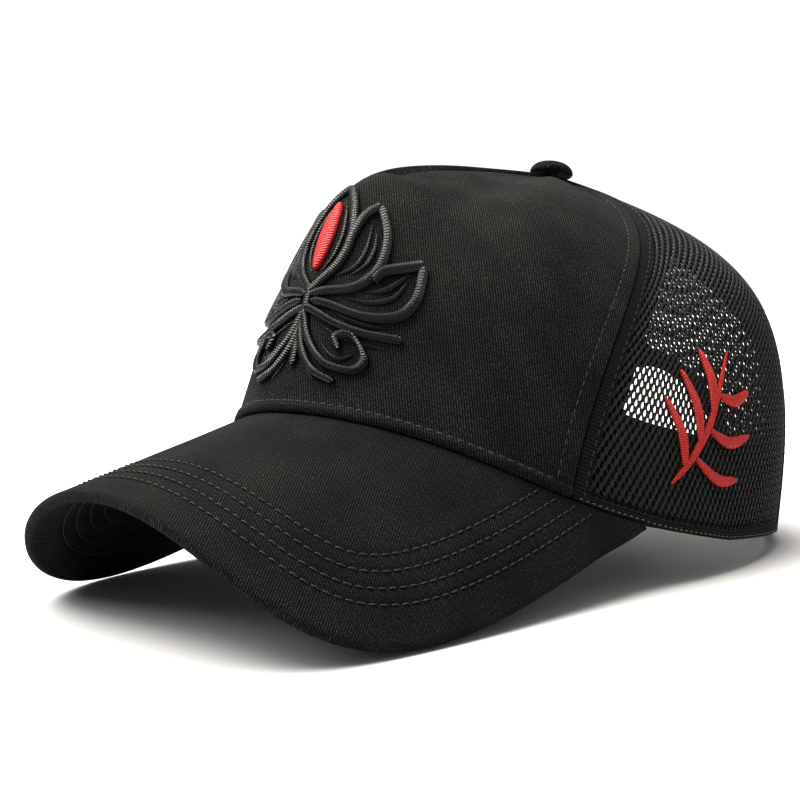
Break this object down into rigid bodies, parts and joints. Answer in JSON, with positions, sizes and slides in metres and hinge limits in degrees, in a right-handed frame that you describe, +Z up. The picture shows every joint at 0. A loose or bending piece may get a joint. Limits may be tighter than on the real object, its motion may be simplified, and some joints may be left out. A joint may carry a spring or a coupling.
{
  "type": "five-panel trucker cap",
  "caption": "Five-panel cap with a twill front and arched visor, net sides and back, covered button, back opening with strap, and raised embroidery.",
  "frame": {"origin": "on the surface that the cap stands on, under the middle of its bounding box", "axes": "+Z up, -Y towards the front of the visor, +X towards the wearer's left"},
  "size_m": [0.1728, 0.2566, 0.1351],
  "materials": {
    "twill": "black cotton twill, matt",
    "net": "black polyester net, slight sheen",
    "band": "black cotton band, matt",
    "tape": "black cotton tape, matt",
    "strap": "black moulded plastic",
    "satin": "black satin thread, glossy",
    "red_thread": "red embroidery thread"
  },
  "bodies": {
    "root": {"front_panel": "twill", "side_panel_left": "net", "side_panel_right": "net", "back_panel_left": "net", "back_panel_right": "net", "visor": "twill", "sweatband": "band", "seam_tapes": "tape", "opening_binding": "tape", "back_strap": "strap", "button": "twill", "front_motif": "satin", "motif_heart": "red_thread", "side_motif": "red_thread"}
  },
  "joints": []
}
